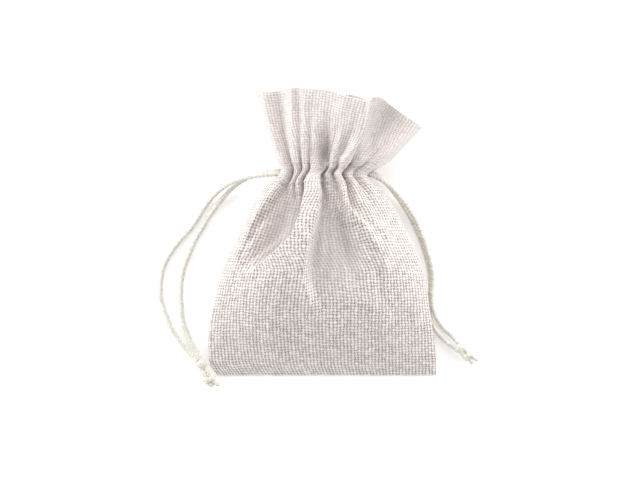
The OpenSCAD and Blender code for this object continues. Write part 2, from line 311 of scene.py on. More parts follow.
def weave(name, double_from, depth=0.30):
    """Plain weave. Each yarn is a rounded ridge across its width, which rises over one crossing
    and sinks at the next as a sine. The cloth's height is that of the higher yarn, and where
    neither covers, there is a gap. The gaps are painted dark, as the shade of the inside seen
    through them, and lighter where the cloth is double. In the dents of the folds the yarns are
    painted darker and the gaps a little lighter, as painted shade that also hides the weave. The
    higher a yarn stands the lighter it is painted, so its crowns carry a painted highlight."""
    m = Nodes(name)
    uv = m.add("ShaderNodeUVMap", uv_map="threads").outputs["UV"]
    parts = m.add("ShaderNodeSeparateXYZ")
    m.put(parts.inputs[0], uv)

    def wander(scale, reach, shift):
        """How far a yarn strays from its place, up to half of `reach` each way."""
        moved = m.add("ShaderNodeVectorMath", operation="ADD")
        m.put(moved.inputs[0], uv)
        moved.inputs[1].default_value = (shift, shift * 0.7, 0)
        return m.do("MULTIPLY", m.do("SUBTRACT", m.noise(moved.outputs[0], scale, 1.0), 0.5), reach)

    # Yarns are counted across and along the cloth, so a whole number is the edge of a crossing.
    u = m.do("DIVIDE", parts.outputs[0], warp_pitch)
    u = m.do("ADD", u, m.do("ADD", wander(0.10, 0.5, 3.0), wander(0.45, 0.45, 9.0)))
    v = m.do("DIVIDE", parts.outputs[1], weft_pitch)
    v = m.do("ADD", v, m.do("ADD", wander(0.09, 0.8, 17.0), wander(0.40, 0.85, 29.0)))
    column, row = m.do("FLOOR", u), m.do("FLOOR", v)
    # How thick each yarn is here. A yarn's slubs run a few crossings along it.
    slub_up = m.noise(m.join(m.do("MULTIPLY", column, 7.31), m.do("MULTIPLY", v, 0.35)), 1.0, 1.0)
    slub_across = m.noise(m.join(m.do("MULTIPLY", u, 0.35), m.do("MULTIPLY", row, 5.17)), 1.0, 1.0)

    def ridge(across, slub, reach):
        """A yarn's outline: the root of 1 - share * share, by the share of its half width."""
        off = m.do("ABSOLUTE", m.do("SUBTRACT", m.do("FRACT", across), 0.5))
        half = m.do("ADD", reach, m.do("MULTIPLY", m.do("SUBTRACT", slub, 0.5), 0.5))
        share = m.do("MINIMUM", m.do("DIVIDE", off, half), 1.0)
        return m.do("SQRT", m.do("SUBTRACT", 1.0, m.do("POWER", share, 2.0)))

    def rise(along, other, shift):
        """From 0, under, to 1, over: half a turn of a sine for each crossing."""
        turn = m.do("MULTIPLY", m.do("ADD", m.do("ADD", along, other), shift), math.pi)
        return m.do("ADD", m.do("MULTIPLY", m.do("SINE", turn), 0.5), 0.5)

    level_up = m.do("ADD", m.do("MULTIPLY", rise(v, column, 0.0), 0.62), 0.38)
    level_across = m.do("ADD", m.do("MULTIPLY", rise(u, row, 1.0), 0.55), 0.35)
    height = m.do("MAXIMUM", m.do("MULTIPLY", ridge(u, slub_up, 0.37), level_up),
                  m.do("MULTIPLY", ridge(v, slub_across, 0.36), level_across))
    fibre = m.noise(m.join(m.do("MULTIPLY", u, 5.0), m.do("MULTIPLY", v, 5.0)), 1.6, 2.0, 0.7)
    crossing = m.add("ShaderNodeTexWhiteNoise", noise_dimensions="2D")
    m.put(crossing.inputs["Vector"], m.join(column, row))
    uneven_light = m.do("ADD", m.do("MULTIPLY", m.do("SUBTRACT", crossing.outputs["Value"], 0.5), 0.34),
                        m.do("MULTIPLY", m.do("SUBTRACT", fibre, 0.5), 0.30))
    # Painted light: the higher a yarn stands, the more of the yarn colour it takes, so the crowns are
    # painted lightest and a yarn darkens towards the gap colour where it dips under, as painted shade.
    # The cross yarns peak lower, so their crowns are painted a little darker. The noise added on top is
    # random tone.
    crown_light_and_tone = m.do("ADD", m.between(height, 0.15, 0.95), uneven_light)
    # Painted shade in the dents of the folds: there the yarns are painted darker and the gaps lighter,
    # so the weave shows less.
    dent_shade_uv = m.add("ShaderNodeSeparateXYZ")
    m.put(dent_shade_uv.inputs[0], m.add("ShaderNodeUVMap", uv_map="sunk").outputs["UV"])
    double = m.between(parts.outputs[1], double_from, double_from + double_over)
    gap_shade = m.mix(double, (*gap_shade_single, 1), (*gap_shade_double, 1))
    gap_shade = m.mix(dent_shade_uv.outputs[0], gap_shade, (*gap_dent_shade, 1))
    yarns = m.mix(dent_shade_uv.outputs[0], (*yarn_white, 1), (*yarn_dent_shade, 1))
    m.put(m.shader.inputs["Base Color"], m.mix(crown_light_and_tone, gap_shade, yarns))
    m.put(m.shader.inputs["Roughness"], m.between(height, 0.2, 1.0, 0.85, 0.5))
    m.shader.inputs["Specular IOR Level"].default_value = 0.35
    m.shader.inputs["Sheen Weight"].default_value = 0.5
    m.shader.inputs["Sheen Roughness"].default_value = 0.5
    m.bump(m.do("ADD", height, m.do("MULTIPLY", fibre, 0.12)), depth)
    return m.material

# %% [markdown]
# ## Cord and thread finishes
# The cord is a round braid of many fine yarns. Its shape carries the braid, and the finish adds
# the fine fibres. Sewing thread is twisted, so it has slanting lines. The lines of both are
# painted a little darker in their grooves, as painted shade.

# %% Braid and thread
def fibres(name, light, dark, along, around, slant, groove_shade=0.18, upright=False):
    """Fine slanting lines: a wave of the distance along plus the turns around, over soft noise.
    The lines are painted darker in their grooves, by `groove_shade`, as painted shade.
    `upright` is for a piece without a thread map: it takes the piece's own y for the distance
    along, and its height for the turns."""
    m = Nodes(name)
    parts = m.add("ShaderNodeSeparateXYZ")
    if upright:
        m.put(parts.inputs[0], m.add("ShaderNodeTexCoord").outputs["Object"])
        distance, turns = m.do("DIVIDE", parts.outputs[1], MM), m.do("DIVIDE", parts.outputs[2], MM)
    else:
        m.put(parts.inputs[0], m.add("ShaderNodeUVMap", uv_map="threads").outputs["UV"])
        distance, turns = parts.outputs[0], parts.outputs[1]
    s, a = m.do("MULTIPLY", distance, along), m.do("MULTIPLY", turns, around)
    lines = m.do("SINE", m.do("MULTIPLY", m.do("ADD", s, m.do("MULTIPLY", a, slant)), 2 * math.pi))
    soft = m.noise(m.join(m.do("MULTIPLY", s, 0.7), a), 1.5, 3.0, 0.6)
    # Painted shade: the colour follows the lines' bump, darker in the grooves. The soft noise is random
    # tone.
    tone = m.do("ADD", m.do("MULTIPLY", lines, groove_shade), m.between(soft, 0.25, 0.75))
    m.put(m.shader.inputs["Base Color"], m.mix(tone, (*dark, 1), (*light, 1)))
    m.shader.inputs["Roughness"].default_value = 0.75
    m.shader.inputs["Specular IOR Level"].default_value = 0.25
    m.shader.inputs["Sheen Weight"].default_value = 0.2
    m.bump(m.do("ADD", m.do("MULTIPLY", lines, 0.5), soft), 0.05)
    return m.material


cord_braid = fibres("cream braid", (0.935, 0.91, 0.845), (0.62, 0.59, 0.52),
                    along=1.3, around=2.0, slant=1.0, groove_shade=0.15)
sewing_thread = fibres("white sewing thread", (0.92, 0.89, 0.87), (0.72, 0.68, 0.66),
                       along=1.8, around=2.0, slant=1.0)
seam_thread = fibres("white thread over the seams", (0.96, 0.88, 0.845), (0.66, 0.60, 0.58),
                     along=0.83, around=0.4, slant=0.5, upright=True)

# %% [markdown]
# ## The cords
# Each cord runs right round the neck inside its channel, comes out at its own side as two
# strands, falls to the table and ends in a knot. A soft cord lies flat on the table once it has
# come down. These points are the ones that the frame's own cords follow.

# %% Routes of the four strands
cord_d = (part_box("left_cord_front_run")[1].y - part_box("left_cord_front_run")[0].y) / MM
left_outer_route = [
    (-7, 79, 10.5), (-12, 79, 10.5), (-17, 79, 10.5), (-22, 78.6, 10.3), (-27, 78, 9.5),
    (-32, 77, 7.8), (-36.6, 75.2, 5.5), (-40.4, 72.8, 3.2), (-43.6, 69.8, 1.8),
    (-46.4, 66.2, 1.2), (-49, 62, 1.1), (-52.2, 57.4, 1.1), (-56, 53.2, 1.1),
    (-59.6, 48.4, 1.1), (-62.4, 43.2, 1.1), (-63.6, 37, 1.1), (-63.6, 31, 1.1),
    (-62, 25, 1.1), (-59.6, 19, 1.1), (-56.2, 13.6, 1.1), (-52.6, 9, 1.6), (-49.3, 5.6, 2.4)]
left_inner_route = [
    (-7, 80, 8.7), (-12, 80, 8.7), (-17, 80, 8.7), (-22, 79.6, 8.3), (-26.4, 78.6, 7),
    (-30.4, 77, 5.2), (-34, 74.8, 3.3), (-37.2, 72, 1.9), (-40.2, 68.6, 1.2),
    (-43.4, 64.4, 1.1), (-46.4, 59.6, 1.1), (-49.4, 54.6, 1.1), (-51.8, 49.4, 1.1),
    (-54, 44, 1.1), (-55.4, 38.4, 1.1), (-55.8, 32.6, 1.1), (-55.5, 26.8, 1.1),
    (-54.8, 21, 1.1), (-52.8, 15.6, 1.2), (-50.2, 10.6, 1.7), (-47.5, 6.6, 2.4)]
right_outer_route = [
    (7, 79, 10.5), (12, 79, 10.5), (17, 79, 10.5), (21.6, 77.4, 10), (25.8, 74.6, 8.6),
    (29.4, 71.2, 6.9), (32.6, 67.2, 5.3), (35.4, 63, 4.1), (37.8, 58.6, 3.4),
    (39.8, 53.6, 3.2), (41.4, 48.6, 3.2), (42.8, 43.6, 3.2), (43.4, 38.2, 3.2),
    (43, 32.6, 3.1), (43.2, 27.4, 2.5), (44.8, 22.8, 1.6), (47.8, 18.6, 1.1),
    (51, 15.4, 1.5), (53.6, 12.7, 2.3)]
right_inner_route = [
    (7, 80, 8.7), (12, 80, 8.7), (17, 80, 8.7), (21.2, 78.6, 7.9), (25, 75.4, 5.6),
    (28.4, 71.6, 3.2), (31.4, 67.4, 1.7), (34.2, 63, 1.2), (36.6, 58.2, 1.1),
    (38.8, 53, 1.1), (40.6, 47.6, 1.1), (42, 42, 1.1), (42.6, 36.2, 1.1),
    (42.2, 30.4, 1.1), (42, 24.6, 1.1), (43.6, 19.6, 1.1), (46.4, 15.6, 1.2),
    (49.4, 12.8, 1.6), (52.1, 11, 2.3)]

# %% A braided tube
def braid(s, a, strands=8, pitch=3.2):
    """Radius of a round braid. Two families of yarns wind in opposite senses. Each is a row of
    rounded ridges, and the one on top changes from crossing to crossing."""
    turn = 2 * np.pi * s / pitch
    right, left = np.cos(strands / 2 * a + turn * 2), np.cos(strands / 2 * a - turn * 2)
    top = np.cos(strands / 2 * a) * np.cos(turn * 2)
    ridge = np.maximum(right * (0.75 + 0.25 * top), left * (0.75 - 0.25 * top))
    return cord_d / 2 * (0.88 + 0.11 * ridge)


tails = {}
for name, points, body in (
    ("left_outer_tail", left_outer_route, "left_cord"),
    ("left_inner_tail", left_inner_route, "left_cord"),
    ("right_outer_tail", right_outer_route, "right_cord"),
    ("right_inner_tail", right_inner_route, "right_cord"),
):
    line = route(points)
    piece = tube_piece(name + "_braid", [tube(line, braid, around=32)], cord_braid)
    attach(piece, body)
    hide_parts(name)
    tails[name] = (piece, line, points)

# %% [markdown]
# ## Knots and cut ends
# Both strands of a cord are tied together. Where they go in, one turn of cord grips them; below
# it they lie side by side; and a second turn closes the knot, from which the cut ends stick out.
# Each knot is made on its own axis and then laid where the frame's knot is.

# %% One knot
def knot_parts(middle, turn, length, ends, lump):
    """Tubes of one knot. Inside, two strands run along the axis. Each grip is a helix of about one
    turn and a quarter to a turn and a half round both, leaning a little. `lump` is the half width
    of the lower one. Each of `ends` is a cut end: where it starts across the knot, where its tip
    is, how far the tip stands out, and how far it sinks."""
    r = cord_d / 2
    c, s = math.cos(math.radians(turn)), math.sin(math.radians(turn))
    spin = np.array([[c, -s, 0], [s, c, 0], [0, 0, 1]])

    def laid(line):
        """A line turned, and moved to the knot's place."""
        return np.asarray(line, float) @ spin.T + np.array(middle)

    def grip(x, lean, start, turns, squeeze, wide=1.55):
        """Cord wound round both strands: a helix that is wider than it is high."""
        t = np.linspace(0, 1, 60)
        a = start + turns * 2 * np.pi * t
        y, z = wide * np.cos(a), 1.25 * np.sin(a) * squeeze
        return np.stack([x + lean * (t - 0.5) + 0.35 * np.cos(a), y, z - 0.05], 1)

    half = length / 2
    lines = [
        route([(-half, 0.95, -0.1), (-half * 0.5, 0.9, 0.3), (0, 0.85, 0.45),
               (half * 0.5, 0.9, 0.2), (half, 0.8, -0.2)]),
        route([(-half, -0.95, -0.1), (-half * 0.5, -0.9, 0.3), (0, -0.9, 0.45),
               (half * 0.5, -0.85, 0.2), (half, -0.8, -0.2)]),
        grip(-half + 0.9, 1.0, 0.4, 1.3, 1.0),
        grip(half - 1.0, -1.5, 2.2, 1.45, 1.05, lump),
    ]
    cut = [route([(half - 0.6, y0, 0.0), (half + 0.8, y0 * 1.2, 0.1), (half + reach, y1, dz)])
           for y0, y1, reach, dz in ends]
    return [laid(line) for line in lines], [laid(line) for line in cut]


def slack(s, a):
    """The braid where the knot pulls it a little thinner."""
    return braid(s, a) * 0.9


def cut_end(line):
    """A cut end swells and loosens a little at its tip."""
    long = np.linalg.norm(line[-1] - line[0])

    def radius(s, a):
        out = s / long
        return braid(s, a) * (0.86 + 0.1 * out**2 + 0.05 * np.sin(5 * a) * out**3)

    return radius


for side, middle, turn, length, ends, lump in (
    ("left", (-45.9, 1.5, 2.45), -62, 8.6, [(0.7, 2.2, 2.5, -0.9), (-0.7, -0.3, 1.4, -1.0)], 2.0),
    ("right", (55.6, 9.3, 2.45), -42, 6.0, [(0.7, 1.3, 2.9, -0.9), (-0.7, -1.0, 2.4, -1.1)], 1.55),
):
    wound, cut = knot_parts(middle, turn, length, ends, lump)
    turns = [tube(line, slack, around=28) for line in wound]
    tips = [tube(line, cut_end(line), around=28) for line in cut]
    knot = tube_piece(f"{side}_knot_turns", turns, cord_braid)
    stubs = tube_piece(f"{side}_cut_ends", tips, cord_braid)
    for piece, node in ((knot, f"{side}_knot"), (stubs, f"{side}_cord_ends")):
        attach(piece, f"{side}_cord")
        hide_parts(node)

for name, (piece, line, points) in tails.items():
    side = name.split("_")[0]

# %% [markdown]
# ## The shape of the filled pouch
# The pouch is one strip of cloth, so its front, neck and ruffle are worked out as one sheet and
# cut at the stitch rows afterwards. Each row of the sheet is an arch between the two side seams.
# Pleats are then laid on the arch: they hold the cloth that the narrow neck has no room for.

# %% Outline and side seams
left_edge = [(0, 41.3), (4, 43.9), (10, 44.7), (20, 44.1), (30, 42.1), (40, 39.3), (50, 35.1),
             (60, 30.1),
             (70, 25.0), (75.5, 21.0), (78.4, 17.6), (80.4, 16.4), (83.8, 17.4)]
right_edge = [(0, 44.7), (6, 44.5), (15, 43.6), (24, 42.2), (33, 40.8), (41, 39.2), (49, 36.2),
              (58, 31.8),
              (67, 27.2), (73.5, 22.2), (77, 18.4), (78.4, 17.6), (79.6, 19.2), (81, 22.0),
              (83.8, 26.2)]
fold_z = 0.85                            # height of the seams at the bottom fold
left_exit, right_exit = 77.3, 76.9       # where the openings for the cords start
exit_long = 3.8


def seam_height(y):
    """The side seams rise as a quarter sine from the bottom fold to the height of the neck."""
    return fold_z + (neck_z - fold_z) * np.sin(np.pi / 2 * np.minimum(1, y / neck_from / 0.75))


def belly_height(y, puff=15.0):
    """How far the front stands above the seams: a half sine for the filling, and a part that grows
    to the neck's own height."""
    a = np.minimum(1, y / neck_from)
    return 0.8 + (neck_h - 0.8) * a**2 + puff * np.sin(np.pi * a**1.05)


def fold_round(y, radius=3.8):
    """The bottom fold is round: a quarter circle brings both layers together at the very edge."""
    return np.sqrt(1 - (1 - np.clip(y / radius, 0, 1)) ** 2)


def exit_gap(xi, y, opening):
    """The side seams are left open where the cords come out, a little lower at the right. Along the
    seam the gap is the root of a half sine, and it closes as the tenth power of xi."""
    start = np.where(xi < 0, left_exit, right_exit)
    return np.abs(xi) ** 10 * opening * np.sqrt(np.sin(np.pi * np.clip((y - start) / exit_long, 0, 1)))

# %% The ruffle's rim
# How far up the rim is, and how high it stands, from its left corner (-1) to its right one (1).
rim_left, rim_right = -26.2, 38.8
front_rim_y = [(-1, 111.4), (-0.85, 110.6), (-0.72, 110.8), (-0.55, 111.8), (-0.42, 111.2),
               (-0.1, 110.0),
               (0.12, 107.8), (0.24, 106.8), (0.4, 106.5), (0.56, 106.2), (0.8, 101.6), (1, 96.9)]
front_rim_z = [(-1, 8.5), (-0.85, 13.0), (-0.6, 18.5), (-0.2, 22.5), (0.1, 24.0), (0.3, 24.5),
               (0.5, 22.5),
               (0.75, 16.5), (0.9, 11.5), (1, 7.5)]
back_rim_y = [(-1, 111.4), (-0.8, 109.8), (-0.4, 109.6), (-0.1, 110.2), (0.1, 110.9), (0.3, 108.9),
              (0.5, 106.8),
              (0.8, 101.2), (1, 96.9)]
back_rim_z = [(-1, 8.5), (-0.85, 4.5), (-0.6, 1.4), (-0.2, 0.7), (0.3, 0.7), (0.6, 1.6), (0.85, 4.2),
              (1, 7.5)]

# %% Arches of the front and the back
def arch(xi, a):
    """From a shallow parabola low down to an ellipse at the neck. A share of the ellipse is kept
    everywhere, so the cloth turns round to meet the seam."""
    level = np.maximum(0, 1 - xi**2)
    return 0.82 * level ** (1 - 0.5 * a**2) + 0.18 * np.sqrt(level)


def body_rows(xi, y, front):
    """Points of the pouch below the ruffle, one row of cloth for each y."""
    xi, y = np.broadcast_arrays(xi[None, :], y[:, None])
    a = np.minimum(1, y / neck_from)
    left, right = smooth(left_edge, y), smooth(right_edge, y)
    x = (right - left) / 2 + (right + left) / 2 * xi
    if front:
        opening = exit_gap(xi, y, np.where(xi < 0, 2.2, 3.2))
        z = seam_height(y) + belly_height(y) * fold_round(y) * arch(xi, a) + opening
    else:
        lie = neck_under * a**4 + 0.1
        dent_shade_uv = (seam_height(y) - lie + 0.6) * fold_round(y)
        shape = np.maximum(0, 1 - np.abs(xi) ** (4 - 2 * a**2)) ** (1 - 0.5 * a**2)
        lowest = lie + 0.12 * (1 - np.abs(xi))
        z = np.maximum(seam_height(y) - dent_shade_uv * shape - exit_gap(xi, y, 1.5), lowest)
    return np.stack([x, y, z], -1)


def ruffle_rows(xi, v, front):
    """Points of the ruffle: from the last row of the neck (v = 0) straight to the rim (v = 1), with
    the height flaring like a trumpet."""
    low = body_rows(xi, np.array([neck_to]), front)[0]
    rim_y, rim_z = (front_rim_y, front_rim_z) if front else (back_rim_y, back_rim_z)
    rim_x = rim_left + (rim_right - rim_left) * (xi + 1) / 2
    rim = np.stack([rim_x, smooth(rim_y, xi), smooth(rim_z, xi)], -1)
    t = v[:, None, None]
    grid = low * (1 - t) + rim * t
    flare = v[:, None] ** 1.25
    grid[..., 2] = low[:, 2] * (1 - flare) + rim[:, 2] * flare
    return grid

# %% [markdown]
# ## Folds
# Gathered cloth is a row of crests and valleys that run on through the neck: narrow and deep
# where the cord draws them in, wide and shallow on the belly and in the ruffle. Each crest or
# valley is a line on the cloth. Between two lines the cloth passes from one height to the next.

# %% The lines of the front's folds
# A line is two smooth curves of the distance from the bottom fold: its place across the cloth,
# from the left seam (-1) to the right one (1), and how far it stands off the plain arch in mm.
front_lines = [
    # the left edge's crest, and the crease that goes on into the ruffle beside it
    ([(40, -0.89), (57, -0.88), (62, -0.867), (67.4, -0.83), (73, -0.80), (78, -0.85), (81.3, -0.92),
      (84, -0.927), (98, -0.92), (112, -0.91)],
     [(30, 0), (45, 0.5), (57, 1.3), (66, 1.7), (73, 1.5), (78, 0.8), (84, 0.7), (98, 1.4),
      (112, 1.2)]),
    ([(40, -0.86), (53, -0.845), (61.5, -0.81), (70.7, -0.73), (75, -0.73), (78, -0.775), (81.3, -0.84),
      (84, -0.85), (98, -0.832), (112, -0.79)],
     [(43, 0), (50, -0.8), (57, -1.8), (66, -3.0), (73, -3.6), (78, -3.6), (84, -3.8), (92, -4.0),
      (104, -4.6), (112, -4.0)]),
    # the broad dent left of the middle, with a low crest that only the ruffle shows
    ([(42, -0.78), (51, -0.70), (55, -0.64), (66, -0.58), (73, -0.61), (78, -0.68), (81.3, -0.70),
      (84, -0.675), (98, -0.61), (112, -0.56)],
     [(41, 0), (48, -4.2), (55, -7.2), (66, -7.0), (73, -3.8), (78, -1.0), (84, 0.6), (92, 1.0),
      (104, 1.0), (112, 0.5)]),
    ([(42, -0.75), (49.4, -0.62), (54.7, -0.47), (60.5, -0.42), (68.6, -0.41), (75, -0.54), (78, -0.59),
      (81.3, -0.61), (84, -0.605), (98, -0.545), (112, -0.49)],
     [(41, 0), (48, -6.0), (55, -8.8), (66, -8.6), (73, -5.4), (78, -3.6), (84, -2.0), (92, -0.8),
      (104, -0.5), (112, -0.5)]),
    ([(42, -0.73), (49.4, -0.59), (54.7, -0.45), (60.5, -0.40), (68.6, -0.375), (75, -0.47),
      (78, -0.52), (81.3, -0.55), (84, -0.55), (98, -0.45), (112, -0.40)],
     [(41, 0), (48, -6.2), (55, -9.2), (66, -9.0), (70, -7.0), (75, -2.4), (78, -0.6), (84, -0.2),
      (92, 0.3), (104, 0.5), (112, 0.5)]),
    ([(42, -0.71), (49.4, -0.56), (54.7, -0.425), (60.5, -0.375), (68.6, -0.345), (75, -0.36),
      (78, -0.41), (81.3, -0.45), (84, -0.46), (98, -0.36), (112, -0.31)],
     [(41, 0), (48, -5.8), (55, -9.0), (66, -9.0), (73, -6.0), (78, -3.8), (84, -2.8), (92, -1.0),
      (104, 0.2), (112, 0.6)]),
    # the flat-topped crest in the middle, which ends in a hollow above the cord
    ([(42, -0.68), (49.4, -0.51), (54.7, -0.365), (60.5, -0.315), (68.6, -0.28), (75, -0.27),
      (78, -0.31), (81.3, -0.38), (84, -0.41), (87, -0.38), (98, -0.28), (112, -0.22)],
     [(40, 0), (50, 1.0), (57, 1.6), (66, 1.8), (73, 1.4), (76, 0.9), (79, 0.4), (82, -0.6), (86, -1.2),
      (90, -0.6), (98, 0.4), (112, 0.8)]),
    ([(26, -0.10), (31.5, -0.14), (36, -0.18), (44, -0.20), (51, -0.18), (58, -0.14), (66.7, -0.08),
      (73.6, -0.05), (78, -0.10), (81.3, -0.15), (84, -0.17), (87, -0.16), (98, -0.10), (112, -0.06)],
     [(24, 0), (32, 0.2), (40, 0.8), (50, 1.5), (66, 1.7), (73, 1.3), (76, 0.7), (79, -0.8), (82, -4.2),
      (86, -6.2), (90, -4.2), (98, -0.4), (112, 0.9)]),
    # the broad dent right of the middle
    ([(26, 0.02), (31.5, -0.04), (36, -0.09), (44, -0.12), (51, -0.10), (58, -0.06), (66.7, 0.0),
      (73.6, 0.02), (78, 0.0), (81.3, -0.07), (84, -0.11), (87, -0.09), (98, 0.0), (112, 0.04)],
     [(20, 0), (28, -1.7), (38, -4.8), (50, -6.6), (57, -7.0), (66, -6.6), (73, -5.4), (78, -4.8),
      (84, -5.0), (90, -2.6), (98, 0.3), (112, 1.0)]),
    ([(26, 0.30), (40, 0.24), (51, 0.24), (58, 0.21), (66.7, 0.16), (73.6, 0.16), (78, 0.15),
      (81.3, 0.03), (84, -0.03), (87, 0.0), (98, 0.09), (112, 0.11)],
     [(20, 0), (28, -0.8), (38, -3.8), (44, -5.6), (50, -6.4), (57, -6.2), (66, -4.4), (73, -2.0),
      (78, -0.6), (84, -0.3), (90, 0.5), (98, 1.2), (112, 1.3)]),
    ([(26, 0.50), (40, 0.50), (51, 0.46), (58, 0.37), (63.5, 0.28), (66.3, 0.25), (70.8, 0.255),
      (78, 0.26), (81.3, 0.13), (84, 0.07), (87, 0.12), (98, 0.20), (112, 0.20)],
     [(22, 0), (38, -1.0), (50, -2.0), (57, -2.0), (66, -1.6), (73, -2.0), (78, -2.4), (84, -1.6),
      (90, -0.6), (98, 0.6), (112, 1.0)]),
    # the sharp crest right of the middle, and the crease beside it
    ([(40, 0.66), (47.5, 0.61), (54.5, 0.53), (58, 0.485), (63.5, 0.375), (66.3, 0.345), (70.8, 0.355),
      (78, 0.38), (81.3, 0.265), (84, 0.22), (87, 0.26), (94, 0.325), (112, 0.30)],
     [(38, 0), (50, 0.4), (57, 1.0), (63, 1.8), (66, 2.1), (70.8, 2.1), (78, 1.7), (84, 2.0), (90, 2.6),
      (98, 3.0), (112, 2.8)]),
    ([(40, 0.80), (50, 0.72), (58, 0.60), (63.5, 0.46), (66.3, 0.42), (70.8, 0.42), (78, 0.47),
      (81.3, 0.38), (84, 0.34), (87, 0.36), (94, 0.41), (112, 0.44)],
     [(46, 0), (55, -0.2), (63, -1.2), (66, -2.0), (70.8, -2.8), (78, -3.8), (84, -3.0), (90, -3.0),
      (98, -3.4), (112, -3.2)]),
    # the right side: smooth below the neck, and one hollow lobe above it
    ([(40, 0.86), (50, 0.80), (63.5, 0.60), (70.8, 0.56), (78, 0.62), (81.3, 0.56), (84, 0.53),
      (87, 0.58), (98, 0.68), (112, 0.70)],
     [(46, 0), (55, 0.2), (63, 0.1), (70.8, 0.0), (78, 0.0), (84, -1.6), (90, -4.2), (98, -6.6),
      (112, -7.2)]),
    ([(40, 0.90), (50, 0.86), (63.5, 0.70), (70.8, 0.68), (78, 0.73), (81.3, 0.68), (84, 0.66),
      (87, 0.71), (98, 0.80), (112, 0.82)],
     [(56, 0), (66, -0.5), (70.8, -1.0), (78, -1.2), (84, -2.0), (90, -2.8), (98, -4.0), (112, -4.0)]),
    ([(40, 0.94), (63.5, 0.84), (70.8, 0.82), (78, 0.86), (81.3, 0.81), (84, 0.79), (98, 0.90),
      (112, 0.93)],
     [(56, 0), (70.8, 0.6), (78, 1.4), (84, 0.9), (90, 1.4), (98, 1.6), (112, 1.2)]),
]

# %% The lines of the back's folds
# The back shows only its own weight on the table and the pleats of the neck, which are regular.
back_pleats = 15
pleat_depth = [(50, 0), (60, 0.3), (67, 1.0), (73, 2.6), (78, 4.2), (81, 4.2), (84, 3.8), (90, 3.4),
               (98, 3.2), (112, 3.2)]
loose_places = np.linspace(-0.9, 0.9, back_pleats)
drawn_places = 0.02 * np.sin(np.arange(back_pleats) * 2.4) + np.linspace(-0.88, 0.88, back_pleats)
back_lines = [
    ([(60, loose), (78, drawn), (112, loose)], [(c, -d if k % 2 else 0) for c, d in pleat_depth])
    for k, (loose, drawn) in enumerate(zip(loose_places, drawn_places))
]
print(f"{len(front_lines)} fold lines on the front, {len(back_lines)} on the back")

# %% Height of the folds
def folds(lines, xi, c):
    """How far the cloth stands off its plain arch. It starts at 0 at the left seam, and between
    each line and the next it rises or falls by the difference of their heights, as t * t * (3 - 2t)
    of the way between them. Near the neck a power of t keeps the crests wide and the valleys
    narrow, because the cord presses the pleats against each other."""
    seam = np.full(c.shape, 1.0)
    where = np.stack([-seam] + [smooth(line, c) for line, _ in lines] + [seam])
    where = np.maximum.accumulate(where + 1e-4 * np.arange(len(where))[:, None], axis=0)
    high = np.stack([0 * c] + [smooth(height, c) for _, height in lines] + [0 * c])
    total = np.zeros((len(c), len(xi)))
    tight = 1 + 0.9 * np.exp(-(((c - 79) / 9) ** 2))[:, None]
    for k in range(len(where) - 1):
        gap = np.maximum(where[k + 1] - where[k], 1e-3)[:, None]
        t = np.clip((xi[None, :] - where[k][:, None]) / gap, 0, 1)
        falls = (high[k + 1] < high[k])[:, None]
        t = np.where(falls, t**tight, 1 - (1 - t) ** tight)
        total += (high[k + 1] - high[k])[:, None] * t * t * (3 - 2 * t)
    return total


def waist(c):
    """The cord draws the neck in: a bell about the middle of the channel."""
    return 1.3 * np.exp(-(((c - 79.4) / 2.6) ** 2))


def uneven(xi, c, seed):
    """Slow unevenness of a filled soft bag, and small dents, which fade at the seams."""
    x, y = np.meshgrid(xi * half_width, c)
    grow = np.clip(c / 14, 0, 1)[:, None] * (1 - np.abs(xi) ** 6)[None, :]
    return grow * (0.42 * ripple(x, y * 0.8, 26, seed) + 0.15 * ripple(x * 1.4, y * 0.7, 9, seed + 1))


def lift(lines, xi, c, seed):
    """The folds and the waist, held down towards the seams by the eighth power of xi, with the
    unevenness on top."""
    held = 0.3 + 0.7 * (1 - np.abs(xi) ** 8)[None, :]
    return held * (folds(lines, xi, c) - waist(c)[:, None]) + uneven(xi, c, seed)

# %% Lay the cloth and measure it
def outward(grid, up):
    """Unit normals of a grid of points, from the directions along and across it."""
    along, across = np.gradient(grid, axis=0), np.gradient(grid, axis=1)
    n = np.cross(across, along)
    n /= np.maximum(np.linalg.norm(n, axis=-1, keepdims=True), 1e-9)
    return n if up else -n


def even(grid, columns, carried):
    """The same rows of cloth with evenly spaced columns, the width of each row, and the carried
    values at the new points. The upright yarns of the weave then run along the columns."""
    step = np.linalg.norm(np.diff(grid, axis=1), axis=2)
    walked = np.concatenate([np.zeros((len(grid), 1)), np.cumsum(step, axis=1)], axis=1)
    share = np.linspace(0, 1, columns)
    laid = np.stack([
        np.stack([np.interp(share * w[-1], w, row[:, k]) for k in range(3)], 1)
        for row, w in zip(grid, walked)])
    values = np.stack([np.interp(share * w[-1], w, row) for row, w in zip(carried, walked)])
    return laid, walked[:, -1], values


cloth_w = 90.0          # one panel of the strip, from seam to seam


def thread_map(laid, start=0.0, shrink=1.0):
    """UV values in millimetres of cloth: across, a share of the panel's width, and along, the mean
    length walked by the rows, over `shrink`. Less than 1 puts the cross yarns closer together."""
    steps = np.linalg.norm(np.diff(laid, axis=0), axis=2).mean(1)
    along = start + np.concatenate([[0], np.cumsum(steps)]) / shrink
    across = np.linspace(0, cloth_w, laid.shape[1])
    return np.stack(np.meshgrid(across, along), -1)


rim_at = 112.0          # the rim, in the distances that the fold lines use
turn_to = 2.6           # the rows are close together up to here, where the fold turns
turn_rows, belly_rows, neck_rows, ruffle_count = 7, 300, 40, 110
front_columns, back_columns = 261, 241
low_limit = 0.1         # nothing lies lower on the table

